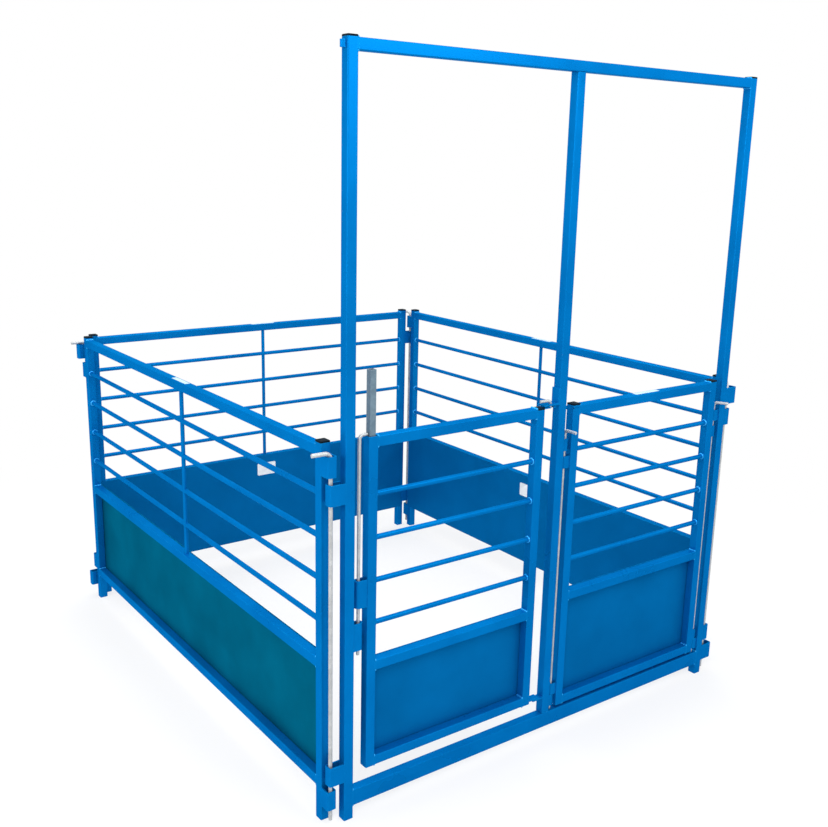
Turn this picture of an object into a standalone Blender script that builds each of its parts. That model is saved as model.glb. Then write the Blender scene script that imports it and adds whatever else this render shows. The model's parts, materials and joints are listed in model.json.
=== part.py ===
"""Livestock handling pen: three sheeted rail panels and a goal-post front frame with a swinging gate.

Metres, +Z up. The front frame faces -Y. The origin is on the floor, under the middle of the pen's box.
Every member, seen from inside the pen, has its outer lugs at its left end and its inner lugs at its right
end. A drop rod through two members' lugs pins each corner.
"""

import math

import bmesh
import bpy
from mathutils import Matrix, Vector

# Overall sizes
FRAME_WIDTH = 1.555        # front frame, and back panel, over their posts
SIDE_LENGTH = 1.830        # side panels over their posts
FRAME_HEIGHT = 2.100
PANEL_HEIGHT = 1.112
PANEL_CLEARANCE = 0.100    # floor to the underside of a panel's bottom rail
PANEL_SHEET_HEIGHT = 0.395
MIDDLE_POST_X = -0.009     # middle post's centre from the front frame's centre
BAR_COUNT = 4

# Square tube, bars and sheet
POST = 0.030
TUBE_WALL = 0.002
FOOT_PLATE = 0.003
SILL_HEIGHT = 0.050
SILL_CLEARANCE = 0.039
POST_RISE = 0.007          # panel's post tube above its top rail
BAR = 0.016
BRACE = 0.014
SHEET = 0.002
SHEET_LAP = 0.020          # sheet over each post's inner face

# Gate and leaf in the front frame
GATE_TOP = 1.115
GATE_CLEARANCE = 0.143
GATE_SHEET_HEIGHT = 0.327
GATE_TOP_GAP = 0.148       # gate's top rail centre to its first bar
HINGE_GAP = 0.0415         # left post to the gate
LATCH_GAP = 0.058          # gate to the middle post
LEAF_GAP = 0.0295          # leaf to the post at each side

# Drop rods
CORNER_ROD = 0.012
GATE_ROD = 0.010
CORNER_BEND = 0.018
GATE_BEND = 0.012
CORNER_HANDLE = 0.057
LEAF_HANDLE = 0.0468
LATCH_HANDLE = 0.040
CORNER_ROD_CLEARANCE = 0.012
LEAF_HANDLE_HEIGHT = 1.030
LEAF_HANDLE_TURNS = (math.radians(-90), math.radians(-63))
FRONT_RIGHT_HANDLE_TURN = math.radians(40)
ROD_TAIL = 0.018           # hinge rod below its lower lug
SOCKET_POST = 0.020
SOCKET_POST_TOP = 1.292

# Strap lugs
LUG_WALL = 0.004
CORNER_LUG_PLAY = 0.0046   # rod to each leg of a corner lug
CROSS_LUG_ROOM = 0.024     # rod to the nose of a cross member's outer lug
CORNER_LUG_HEIGHT = 0.057
CORNER_LUG_SPACE = 0.019
UPPER_LUG_DROP = 0.035     # panel top to the upper outer lug
LOWER_LUG_CLEARANCE = 0.048
OUTER_GAP = 0.0034         # cross member's end to the side member's lug, at an outer end
INNER_GAP = 0.0219         # the same at an inner end
SIDE_GAP = 0.0104          # side panel's end to the cross member's lug
HINGE_LUG_PLAY = 0.003
HINGE_LUG_HEIGHT = 0.080
FRAME_HINGE_LUG = 0.513    # underside
GATE_HINGE_LUG = 0.636
LEAF_LUG_PLAY = 0.0008
LEAF_LUG_HEIGHT = 0.038
LEAF_LUG_DROP = 0.056      # leaf's upper lugs under the frame's
FRAME_LEAF_LUG_UPPER = 0.966
FRAME_LEAF_LUG_LOWER = 0.104
EYE_HEIGHT = 0.018
EYE_REACH = 0.0125
EYE_WIDTH = 0.013
EYE_DROP = 0.007           # eye under the left post's top

# Latch
PLATE = 0.005
KEEPER_LEG = 0.050
KEEPER_REACH = 0.060
KEEPER_GAP = 0.003         # gate top to the keeper
TONGUE = 0.004
TONGUE_REACH = 0.042
TONGUE_GUSSET = 0.042
TONGUE_GUSSET_WIDTH = 0.010
PIN_OFFSET = -0.005        # latch pin from the frame's centre plane
PIN_PLAY = 0.0005
NOTCH_PLAY = 0.001
PIN_TIP = 0.002            # latch pin below the gate's tongue
REST_REACH = 0.040
REST_WIDTH = 0.024
REST_RISE = 0.005          # gate's rest tongue above its underside

# Plug caps
CAP_HEAD = 0.005
CAP_STEM = 0.012
CAP_BEVEL = 0.0015
LATCH_STILE_DROP = 0.0053  # room for a plug cap flush with the gate's top

# Fits
WELD_GAP = 0.0003
SEAT_GAP = 0.0003
TIP_GAP = 0.001

# Facets
CORNER_STEPS = 2
FOLD_STEPS = 4
BEND_STEPS = 6
BAR_SIDES = 12
ROD_BEVEL = 4

# Sizes that follow
TUBE_CORNER = 1.5 * TUBE_WALL
LUG_EMBED = 0.75 * TUBE_WALL
FRAME_POST_TOP = FRAME_HEIGHT - CAP_HEAD - SEAT_GAP
PANEL_POST_TOP = PANEL_HEIGHT - CAP_HEAD - SEAT_GAP
CORNER_LUG_WIDTH = CORNER_ROD + 2 * (CORNER_LUG_PLAY + LUG_WALL)
OUTER_REACH = CORNER_LUG_WIDTH / 2 + OUTER_GAP
INNER_REACH = CORNER_LUG_WIDTH / 2 + INNER_GAP
SIDE_REACH = CORNER_LUG_WIDTH / 2 + SIDE_GAP
CORNER_LUG_PITCH = CORNER_LUG_HEIGHT + CORNER_LUG_SPACE
UPPER_LUG_TOP = PANEL_HEIGHT - UPPER_LUG_DROP
OUTER_LUGS = (UPPER_LUG_TOP - CORNER_LUG_HEIGHT, LOWER_LUG_CLEARANCE)
INNER_LUGS = (OUTER_LUGS[0] - CORNER_LUG_PITCH, OUTER_LUGS[1] + CORNER_LUG_PITCH)
FRAME_LEAF_LUGS = (FRAME_LEAF_LUG_UPPER, FRAME_LEAF_LUG_LOWER)
LEAF_LUGS = (FRAME_LEAF_LUG_UPPER - LEAF_LUG_DROP, FRAME_LEAF_LUG_LOWER + LEAF_LUG_HEIGHT + SEAT_GAP)
LEFT_POST_X = -FRAME_WIDTH / 2 + POST / 2
RIGHT_POST_X = FRAME_WIDTH / 2 - POST / 2
SILL_TOP = SILL_CLEARANCE + SILL_HEIGHT
TONGUE_TOP = GATE_TOP
KEEPER_UNDERSIDE = GATE_TOP + KEEPER_GAP


def make_material(name, colour, roughness, metallic):
    """A plain Principled material."""
    material = bpy.data.materials.new(name)
    material.use_nodes = True
    shader = material.node_tree.nodes["Principled BSDF"]
    shader.inputs["Base Color"].default_value = (*colour, 1.0)
    shader.inputs["Roughness"].default_value = roughness
    shader.inputs["Metallic"].default_value = metallic
    material.diffuse_color = (*colour, 1.0)
    return material


def add_empty(name, parent, place, turn=0.0):
    """An empty that carries one assembly."""
    empty = bpy.data.objects.new(name, None)
    bpy.context.scene.collection.objects.link(empty)
    empty.parent = parent
    empty.location = place
    empty.rotation_euler = (0.0, 0.0, turn)
    return empty


def add_piece(name, mesh, material, parent, place=(0.0, 0.0, 0.0)):
    """One named object for one physical piece."""
    mesh.name = name
    mesh.materials.clear()
    mesh.materials.append(material)
    mesh.shade_smooth()
    mesh.set_sharp_from_angle(angle=math.radians(40))
    piece = bpy.data.objects.new(name, mesh)
    bpy.context.scene.collection.objects.link(piece)
    piece.parent = parent
    piece.location = place
    return piece


def rectangle_ring(width, depth, radius, height):
    """Points of a rounded rectangle, counter-clockwise, at one height."""
    points = []
    for quarter, (side_x, side_y) in enumerate(((1, 1), (-1, 1), (-1, -1), (1, -1))):
        for step in range(CORNER_STEPS + 1):
            angle = math.radians(90 * (quarter + step / CORNER_STEPS))
            x = side_x * (width / 2 - radius) + radius * math.cos(angle)
            y = side_y * (depth / 2 - radius) + radius * math.sin(angle)
            points.append((x, y, height))
    return points


def circle_ring(diameter, height):
    """Points of a circle, counter-clockwise, at one height."""
    turns = [2 * math.pi * side / BAR_SIDES for side in range(BAR_SIDES)]
    return [(diameter / 2 * math.cos(turn), diameter / 2 * math.sin(turn), height) for turn in turns]


def loft(rings, closed=False, along_x=False):
    """Skin rings of equal count; cap both ends unless the rings close on themselves."""
    shape = bmesh.new()
    loops = [[shape.verts.new(point) for point in ring] for ring in rings]
    pairs = list(zip(loops, loops[1:]))
    if closed:
        pairs.append((loops[-1], loops[0]))
    else:
        shape.faces.new(loops[0])
        shape.faces.new(loops[-1])
    for lower, upper in pairs:
        for index in range(len(lower)):
            after = (index + 1) % len(lower)
            shape.faces.new((lower[index], lower[after], upper[after], upper[index]))
    bmesh.ops.recalc_face_normals(shape, faces=shape.faces)
    if along_x:
        shape.transform(Matrix.Rotation(math.radians(90), 4, "Y"))
    mesh = bpy.data.meshes.new("loft")
    shape.to_mesh(mesh)
    shape.free()
    return mesh


def prism(outline, low, high):
    """Extrude a flat outline from one height to another; points that repeat are dropped."""
    kept = [point for point, last in zip(outline, outline[-1:] + outline) if math.dist(point, last) > 1e-6]
    return loft([[(x, y, height) for x, y in kept] for height in (low, high)])


def block(low, high):
    """A box between two corners."""
    outline = [(low[0], low[1]), (high[0], low[1]), (high[0], high[1]), (low[0], high[1])]
    return prism(outline, low[2], high[2])


def footed_tube(width, low, high):
    """A square tube on end, closed by its foot and open at its top."""
    inner = width - 2 * TUBE_WALL
    inner_corner = TUBE_CORNER - TUBE_WALL
    return loft([
        rectangle_ring(width, width, TUBE_CORNER, low),
        rectangle_ring(width, width, TUBE_CORNER, high),
        rectangle_ring(inner, inner, inner_corner, high),
        rectangle_ring(inner, inner, inner_corner, low + FOOT_PLATE),
    ])


def rail_tube(height, depth, length):
    """An open tube along X, from X = 0."""
    inner = (height - 2 * TUBE_WALL, depth - 2 * TUBE_WALL, TUBE_CORNER - TUBE_WALL)
    outer = (height, depth, TUBE_CORNER)
    ends = ((outer, 0.0), (outer, length), (inner, length), (inner, 0.0))
    return loft([rectangle_ring(*size, along) for size, along in ends], closed=True, along_x=True)


def round_bar(diameter, length, along_x=True):
    """A solid round bar from the origin."""
    return loft([circle_ring(diameter, 0.0), circle_ring(diameter, length)], along_x=along_x)


def moved(mesh, place, turn=0.0):
    """The mesh turned about Z and then moved."""
    mesh.transform(Matrix.Translation(Vector(place)) @ Matrix.Rotation(turn, 4, "Z"))
    return mesh


def combined(base, operands, operation="UNION"):
    """The base mesh joined with, or cut by, each operand mesh in turn."""
    carrier = bpy.data.objects.new("carrier", base)
    bpy.context.scene.collection.objects.link(carrier)
    helpers = []
    for operand in operands:
        helper = bpy.data.objects.new("operand", operand)
        bpy.context.scene.collection.objects.link(helper)
        helper.hide_render = True
        helper.display_type = "WIRE"
        helpers.append(helper)
        boolean = carrier.modifiers.new("combine", "BOOLEAN")
        boolean.operation = operation
        boolean.solver = "EXACT"
        boolean.object = helper
    graph = bpy.context.evaluated_depsgraph_get()
    result = bpy.data.meshes.new_from_object(carrier.evaluated_get(graph))
    for used in (carrier, *helpers):
        bpy.data.objects.remove(used)
    return result


def strap_lug(reach, nose, width, bend, low, height, direction):
    """A strap folded round a rod: its legs leave a post's face, and its nose lies past the rod's axis.

    reach runs from the post's face to the axis, nose from the axis to the strap's outside, and direction
    is 1 for +X or -1 for -X. The post's centre is at the origin.
    """
    def fold(inset):
        tip = reach + nose - inset
        half = width / 2 - inset
        radius = bend - inset
        points = [(-LUG_EMBED, -half)]
        for side, start in ((-1, -90), (1, 0)):
            for step in range(FOLD_STEPS + 1):
                angle = math.radians(start + 90 * step / FOLD_STEPS)
                x = tip - radius + radius * math.cos(angle)
                points.append((x, side * (half - radius) + radius * math.sin(angle)))
        return points + [(-LUG_EMBED, half)]

    outline = fold(0.0) + fold(LUG_WALL)[::-1]
    strap = moved(prism(outline, low, low + height), (POST / 2, 0.0, 0.0))
    return moved(strap, (0.0, 0.0, 0.0), 0.0 if direction > 0 else math.pi)


def corner_lugs(reach, room, undersides, direction):
    """The flat-nosed straps that take a corner rod; room runs from the rod to the nose's inside."""
    nose = CORNER_ROD / 2 + room + LUG_WALL
    bend = 1.5 * LUG_WALL
    sizes = (reach, nose, CORNER_LUG_WIDTH, bend)
    return [strap_lug(*sizes, low, CORNER_LUG_HEIGHT, direction) for low in undersides]


def round_lugs(reach, play, undersides, height, direction):
    """The round-nosed straps that take a gate or leaf rod."""
    nose = GATE_ROD / 2 + play + LUG_WALL
    return [strap_lug(reach, nose, 2 * nose, nose, low, height, direction) for low in undersides]


def handle_rise(rod, bend, edge):
    """Height of a bent rod's handle axis over the edge that its bend rests on, edge metres from its axis."""
    if edge >= bend:
        return rod / 2 + SEAT_GAP
    return bend - math.sqrt((bend - rod / 2) ** 2 - (bend - edge) ** 2) + SEAT_GAP


def add_rod(name, parent, place, diameter, bend, tip, handle_height, handle, turn):
    """A drop rod with a bent handle; its axis is its origin, and its handle turns from +X about Z."""
    points = [(0.0, tip)]
    for step in range(BEND_STEPS + 1):
        angle = math.radians(90 * step / BEND_STEPS)
        points.append((bend - bend * math.cos(angle), handle_height - bend + bend * math.sin(angle)))
    points.append((handle, handle_height))
    curve = bpy.data.curves.new(name, "CURVE")
    curve.dimensions = "3D"
    curve.bevel_depth = diameter / 2
    curve.bevel_resolution = ROD_BEVEL
    curve.use_fill_caps = True
    spline = curve.splines.new("POLY")
    spline.points.add(len(points) - 1)
    for point, (along, height) in zip(spline.points, points):
        point.co = (along * math.cos(turn), along * math.sin(turn), height, 1.0)
    curve.materials.append(GALVANISED)
    rod = bpy.data.objects.new(name, curve)
    bpy.context.scene.collection.objects.link(rod)
    rod.parent = parent
    rod.location = place
    return rod


def add_cap(name, parent, place):
    """A plug cap: a bevelled head on a tube's end, and a stem inside the tube."""
    stem = POST - 2 * (TUBE_WALL + SEAT_GAP)
    stem_corner = TUBE_CORNER - TUBE_WALL
    crown = POST - 2 * CAP_BEVEL
    cap = loft([
        rectangle_ring(stem, stem, stem_corner, -CAP_STEM),
        rectangle_ring(stem, stem, stem_corner, SEAT_GAP),
        rectangle_ring(POST, POST, TUBE_CORNER, SEAT_GAP),
        rectangle_ring(POST, POST, TUBE_CORNER, SEAT_GAP + CAP_HEAD - CAP_BEVEL),
        rectangle_ring(crown, crown, TUBE_CORNER - CAP_BEVEL, SEAT_GAP + CAP_HEAD),
    ])
    return add_piece(name, cap, BLACK_PLASTIC, parent, place)


def spaced(first, last, count):
    """Heights of bars spread evenly between two rails."""
    return [first + (last - first) * (index + 1) / (count + 1) for index in range(count)]


def add_rail(name, parent, start, length, underside, height=POST):
    """A rail between two posts."""
    place = (start + WELD_GAP, 0.0, underside + height / 2)
    return add_piece(name, rail_tube(height, POST, length - 2 * WELD_GAP), BLUE_PAINT, parent, place)


def add_sheet(name, parent, start, length, low, high, inner_side):
    """A flat sheet over the inner faces of a frame's posts and rails; inner_side is 1 for +Y or -1 for -Y."""
    near = inner_side * (POST / 2 + WELD_GAP)
    far = near + inner_side * SHEET
    sheet = block((start - SHEET_LAP, min(near, far), low), (start + length + SHEET_LAP, max(near, far), high))
    return add_piece(name, sheet, BLUE_PAINT, parent)


def build_panel(side, post_names, length, outer_reach, outer_room, inner_reach, place, turn):
    """One panel along its own X, from the rod at its outer lugs to the rod at its inner lugs."""
    panel = add_empty(f"{side}_panel", pen, place, turn)
    posts = (
        (outer_reach + POST / 2, corner_lugs(outer_reach, outer_room, OUTER_LUGS, -1)),
        (outer_reach + length - POST / 2, corner_lugs(inner_reach, SEAT_GAP, INNER_LUGS, 1)),
    )
    for name, (along, lugs) in zip(post_names, posts):
        post = combined(footed_tube(POST, 0.0, PANEL_POST_TOP), lugs)
        add_piece(f"{side}_panel_post_{name}", post, BLUE_PAINT, panel, (along, 0.0, 0.0))
        add_cap(f"{side}_panel_cap_{name}", panel, (along, 0.0, PANEL_POST_TOP))

    start = outer_reach + POST
    clear = length - 2 * POST
    top_rail = PANEL_POST_TOP - POST_RISE - POST
    sheet_top = PANEL_CLEARANCE + PANEL_SHEET_HEIGHT
    add_rail(f"{side}_panel_top_rail", panel, start, clear, top_rail)
    add_rail(f"{side}_panel_bottom_rail", panel, start, clear, PANEL_CLEARANCE)
    add_sheet(f"{side}_panel_sheet", panel, start, clear, PANEL_CLEARANCE, sheet_top, -1)

    grid_length = clear - 2 * WELD_GAP
    brace_foot = sheet_top - LUG_EMBED
    brace = round_bar(BRACE, top_rail - WELD_GAP - brace_foot, along_x=False)
    welded = [moved(rail_tube(POST, POST, grid_length), (0.0, 0.0, sheet_top - POST / 2))]
    for height in spaced(sheet_top - POST / 2, top_rail + POST / 2, BAR_COUNT):
        welded.append(moved(round_bar(BAR, grid_length), (0.0, 0.0, height)))
    grid = combined(moved(brace, (grid_length / 2, 0.0, brace_foot)), welded)
    add_piece(f"{side}_panel_bar_grid", grid, BLUE_PAINT, panel, (start + WELD_GAP, 0.0, 0.0))


def build_front_frame(frame):
    """The goal-post frame: three posts, the top rail and the sill."""
    hinge_reach = HINGE_GAP / 2
    leaf_reach = LEAF_GAP / 2
    eye = strap_lug(EYE_REACH - EYE_WIDTH / 2, EYE_WIDTH / 2, EYE_WIDTH, EYE_WIDTH / 2,
                    FRAME_POST_TOP - EYE_DROP - EYE_HEIGHT, EYE_HEIGHT, -1)
    hinge_lug = round_lugs(hinge_reach, HINGE_LUG_PLAY, (FRAME_HINGE_LUG,), HINGE_LUG_HEIGHT, 1)
    left_lugs = corner_lugs(INNER_REACH, SEAT_GAP, INNER_LUGS, -1) + hinge_lug + [eye]
    right_lugs = corner_lugs(OUTER_REACH, CROSS_LUG_ROOM, OUTER_LUGS, 1)
    right_lugs += round_lugs(leaf_reach, LEAF_LUG_PLAY, FRAME_LEAF_LUGS, LEAF_LUG_HEIGHT, -1)
    for side, along, lugs in (("left", LEFT_POST_X, left_lugs), ("right", RIGHT_POST_X, right_lugs)):
        post = combined(footed_tube(POST, 0.0, FRAME_POST_TOP), lugs)
        add_piece(f"front_post_{side}", post, BLUE_PAINT, frame, (along, 0.0, 0.0))
        add_cap(f"front_cap_{side}", frame, (along, 0.0, FRAME_POST_TOP))

    start = LEFT_POST_X + POST / 2
    clear = FRAME_WIDTH - 2 * POST
    top_rail = FRAME_POST_TOP - POST
    add_rail("front_top_rail", frame, start, clear, top_rail)
    add_rail("front_sill", frame, start, clear, SILL_CLEARANCE, SILL_HEIGHT)
    build_middle_post(frame, SILL_TOP + WELD_GAP, top_rail - WELD_GAP, leaf_reach)


def build_middle_post(frame, low, high, leaf_reach):
    """The middle post, with the leaf's lugs, the latch keeper and the plate that the gate rests on."""
    face = -POST / 2
    keeper_outline = [
        (face + LUG_EMBED, 0.0), (face - KEEPER_REACH, 0.0), (face - KEEPER_REACH, PLATE),
        (face - PLATE, PLATE), (face - PLATE, KEEPER_LEG), (face + LUG_EMBED, KEEPER_LEG),
    ]
    keeper = prism(keeper_outline, -POST / 2, POST / 2)
    keeper.transform(Matrix.Translation((0.0, 0.0, KEEPER_UNDERSIDE)) @ Matrix.Rotation(math.radians(90), 4, "X"))
    hole = round_bar(GATE_ROD + 2 * PIN_PLAY, 3 * PLATE, along_x=False)
    moved(hole, (face - LATCH_GAP / 2, PIN_OFFSET, KEEPER_UNDERSIDE - PLATE))
    rest_top = GATE_CLEARANCE + REST_RISE - SEAT_GAP
    rest = block((face - REST_REACH, -REST_WIDTH / 2, rest_top - PLATE), (face + LUG_EMBED, REST_WIDTH / 2, rest_top))
    lugs = round_lugs(leaf_reach, LEAF_LUG_PLAY, FRAME_LEAF_LUGS, LEAF_LUG_HEIGHT, 1)
    post = combined(footed_tube(POST, low, high), [*lugs, combined(keeper, [hole], "DIFFERENCE"), rest])
    add_piece("front_post_middle", post, BLUE_PAINT, frame, (MIDDLE_POST_X, 0.0, 0.0))


def build_infill(name, parent, start, clear, low, top_rail, sheet_top, first_bar, last_bar_to):
    """What lies between the two stiles of the gate or the leaf."""
    add_rail(f"{name}_top_rail", parent, start, clear, top_rail)
    add_rail(f"{name}_sheet_rail", parent, start, clear, sheet_top - POST)
    add_rail(f"{name}_bottom_rail", parent, start, clear, low)
    add_sheet(f"{name}_sheet", parent, start, clear, low, sheet_top, 1)
    pitch = (last_bar_to - first_bar) / BAR_COUNT
    for index in range(BAR_COUNT):
        bar = round_bar(BAR, clear - 2 * WELD_GAP)
        place = (start + WELD_GAP, 0.0, first_bar + index * pitch)
        add_piece(f"{name}_bar_{index + 1}", bar, BLUE_PAINT, parent, place)


def build_gate(frame):
    """The gate, on an empty at its hinge axis."""
    hinge_x = LEFT_POST_X + POST / 2 + HINGE_GAP / 2
    gate = add_empty("gate", frame, (hinge_x, 0.0, 0.0))
    hinge_reach = HINGE_GAP / 2
    opening = MIDDLE_POST_X - LEFT_POST_X - POST
    width = opening - HINGE_GAP - LATCH_GAP

    lug = round_lugs(hinge_reach, HINGE_LUG_PLAY, (GATE_HINGE_LUG,), HINGE_LUG_HEIGHT, -1)
    hinge_stile = combined(footed_tube(POST, GATE_CLEARANCE, GATE_TOP), lug)
    add_piece("gate_hinge_stile", hinge_stile, BLUE_PAINT, gate, (hinge_reach + POST / 2, 0.0, 0.0))

    latch_stile = footed_tube(POST, GATE_CLEARANCE, GATE_TOP - LATCH_STILE_DROP)
    latch_place = (hinge_reach + width - POST / 2, 0.0, 0.0)
    add_piece("gate_latch_stile", combined(latch_stile, gate_tongues()), BLUE_PAINT, gate, latch_place)

    top_rail = GATE_TOP - POST
    sheet_top = GATE_CLEARANCE + GATE_SHEET_HEIGHT
    first_bar = top_rail + POST / 2 - GATE_TOP_GAP
    build_infill("gate", gate, hinge_reach + POST, width - 2 * POST, GATE_CLEARANCE, top_rail, sheet_top,
                 first_bar, sheet_top - POST / 2)

    stand = GATE_CLEARANCE + FOOT_PLATE + SEAT_GAP
    socket_place = (hinge_reach + POST / 2, 0.0, 0.0)
    add_piece("socket_post", footed_tube(SOCKET_POST, stand, SOCKET_POST_TOP), GALVANISED, gate, socket_place)
    handle = hinge_reach + (POST - SOCKET_POST) / 2 - TIP_GAP
    handle_height = GATE_TOP + handle_rise(GATE_ROD, GATE_BEND, hinge_reach)
    add_rod("gate_hinge_rod", gate, (0.0, 0.0, 0.0), GATE_ROD, GATE_BEND, FRAME_HINGE_LUG - ROD_TAIL,
            handle_height, handle, 0.0)


def gate_tongues():
    """The notched latch tongue, its gusset and the rest tongue, welded to the latch stile's outer face."""
    face = POST / 2
    pin_x = face + LATCH_GAP / 2
    radius = GATE_ROD / 2 + NOTCH_PLAY
    notch = []
    for step in range(2 * FOLD_STEPS + 1):
        angle = math.radians(180 - 180 * step / (2 * FOLD_STEPS))
        notch.append((pin_x + radius * math.cos(angle), PIN_OFFSET + radius * math.sin(angle)))
    outline = [
        (face - LUG_EMBED, -POST / 2), (pin_x - radius, -POST / 2), *notch, (pin_x + radius, -POST / 2),
        (face + TONGUE_REACH, -POST / 2), (face + TONGUE_REACH, POST / 2), (face - LUG_EMBED, POST / 2),
    ]
    tongue = prism(outline, TONGUE_TOP - TONGUE, TONGUE_TOP)
    gusset_top = TONGUE_TOP - TONGUE / 2
    gusset = block((face - LUG_EMBED, -PLATE / 2, TONGUE_TOP - TONGUE - TONGUE_GUSSET),
                   (face + TONGUE_GUSSET_WIDTH, PLATE / 2, gusset_top))
    rest_low = GATE_CLEARANCE + REST_RISE
    rest = block((face - LUG_EMBED, -REST_WIDTH / 2, rest_low),
                 (face + TONGUE_REACH, REST_WIDTH / 2, rest_low + PLATE))
    return [tongue, gusset, rest]


def build_leaf(frame):
    """The leaf that two rods pin between the middle post and the right post."""
    start = MIDDLE_POST_X + POST / 2 + LEAF_GAP
    width = RIGHT_POST_X - POST / 2 - LEAF_GAP - start
    leaf = add_empty("leaf", frame, (start, 0.0, 0.0))
    sides = (("left", POST / 2, -1), ("right", width - POST / 2, 1))
    for (side, along, direction), turn in zip(sides, LEAF_HANDLE_TURNS):
        lugs = round_lugs(LEAF_GAP / 2, LEAF_LUG_PLAY, LEAF_LUGS, LEAF_LUG_HEIGHT, direction)
        stile = combined(footed_tube(POST, PANEL_CLEARANCE, PANEL_POST_TOP), lugs)
        add_piece(f"leaf_stile_{side}", stile, BLUE_PAINT, leaf, (along, 0.0, 0.0))
        rod_x = along + direction * (POST + LEAF_GAP) / 2
        add_rod(f"leaf_rod_{side}", leaf, (rod_x, 0.0, 0.0), GATE_ROD, GATE_BEND, SILL_TOP + SEAT_GAP,
                LEAF_HANDLE_HEIGHT, LEAF_HANDLE, turn)
    top_rail = PANEL_POST_TOP - POST
    sheet_top = PANEL_CLEARANCE + PANEL_SHEET_HEIGHT
    bars_from = top_rail - POST_RISE + POST / 2
    bars_to = sheet_top - POST / 2
    first_bar = spaced(bars_from, bars_to, BAR_COUNT)[0]
    build_infill("leaf", leaf, POST, width - 2 * POST, PANEL_CLEARANCE, top_rail, sheet_top, first_bar, bars_to)


def build_latch_pin(frame):
    """The drop pin through the keeper and the gate's notch."""
    rise = handle_rise(GATE_ROD, GATE_BEND, GATE_ROD / 2 + PIN_PLAY)
    place = (MIDDLE_POST_X - POST / 2 - LATCH_GAP / 2, PIN_OFFSET, 0.0)
    add_rod("gate_latch_pin", frame, place, GATE_ROD, GATE_BEND, TONGUE_TOP - TONGUE - PIN_TIP,
            KEEPER_UNDERSIDE + PLATE + rise, LATCH_HANDLE, math.pi)


def build_corner_rods(half_x, half_y):
    """The four rods that pin the members together; each handle lies over the upper outer lug.

    A handle at a slant meets the lug's leg a little sooner on one side.
    """
    leg_edge = CORNER_ROD / 2 + CORNER_LUG_PLAY
    slant_edge = leg_edge / math.sin(FRONT_RIGHT_HANDLE_TURN) - CORNER_ROD / 6
    side_nose_edge = CORNER_ROD / 2 + SEAT_GAP
    cross_nose_edge = CORNER_ROD / 2 + CROSS_LUG_ROOM
    corners = (
        ("front_left", -half_x, -half_y, leg_edge, math.pi),
        ("front_right", half_x, -half_y, slant_edge, FRONT_RIGHT_HANDLE_TURN),
        ("back_left", -half_x, half_y, cross_nose_edge, math.pi),
        ("back_right", half_x, half_y, side_nose_edge, math.pi / 2),
    )
    for corner, x, y, edge, turn in corners:
        height = UPPER_LUG_TOP + handle_rise(CORNER_ROD, CORNER_BEND, edge)
        add_rod(f"corner_rod_{corner}", pen, (x, y, 0.0), CORNER_ROD, CORNER_BEND, CORNER_ROD_CLEARANCE,
                height, CORNER_HANDLE, turn)


def centre_on_floor():
    """Move the pen so that the origin is at the bottom centre of its box."""
    bpy.context.view_layer.update()
    graph = bpy.context.evaluated_depsgraph_get()
    corners = []
    for piece in bpy.context.scene.objects:
        if piece.type != "EMPTY":
            placed = piece.evaluated_get(graph)
            corners += [placed.matrix_world @ vertex.co for vertex in placed.to_mesh().vertices]
    middle = [(min(c[axis] for c in corners) + max(c[axis] for c in corners)) / 2 for axis in (0, 1)]
    pen.location = (-middle[0], -middle[1], -min(corner.z for corner in corners))
    bpy.context.view_layer.update()


for old in list(bpy.data.objects):
    bpy.data.objects.remove(old)

BLUE_PAINT = make_material("blue_paint", (0.004, 0.14, 0.60), 0.35, 0.0)
GALVANISED = make_material("galvanised", (0.60, 0.61, 0.60), 0.42, 1.0)
BLACK_PLASTIC = make_material("black_plastic", (0.02, 0.02, 0.022), 0.50, 0.0)

# Distances between the rods' axes, and the members set between them
half_x = (FRAME_WIDTH + OUTER_REACH + INNER_REACH) / 2
half_y = (SIDE_LENGTH + 2 * SIDE_REACH) / 2
pen = add_empty("pen", None, (0.0, 0.0, 0.0))
front_frame = add_empty("front_frame", pen, ((INNER_REACH - OUTER_REACH) / 2, -half_y, 0.0))
build_front_frame(front_frame)
build_gate(front_frame)
build_leaf(front_frame)
build_latch_pin(front_frame)
build_panel("left", ("front", "back"), SIDE_LENGTH, SIDE_REACH, SEAT_GAP, SIDE_REACH,
            (-half_x, -half_y, 0.0), math.pi / 2)
build_panel("back", ("left", "right"), FRAME_WIDTH, OUTER_REACH, CROSS_LUG_ROOM, INNER_REACH,
            (-half_x, half_y, 0.0), 0.0)
build_panel("right", ("back", "front"), SIDE_LENGTH, SIDE_REACH, SEAT_GAP, SIDE_REACH,
            (half_x, half_y, 0.0), -math.pi / 2)
build_corner_rods(half_x, half_y)
centre_on_floor()
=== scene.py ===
import json
import math

import bpy
from mathutils import Matrix, Vector


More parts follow.
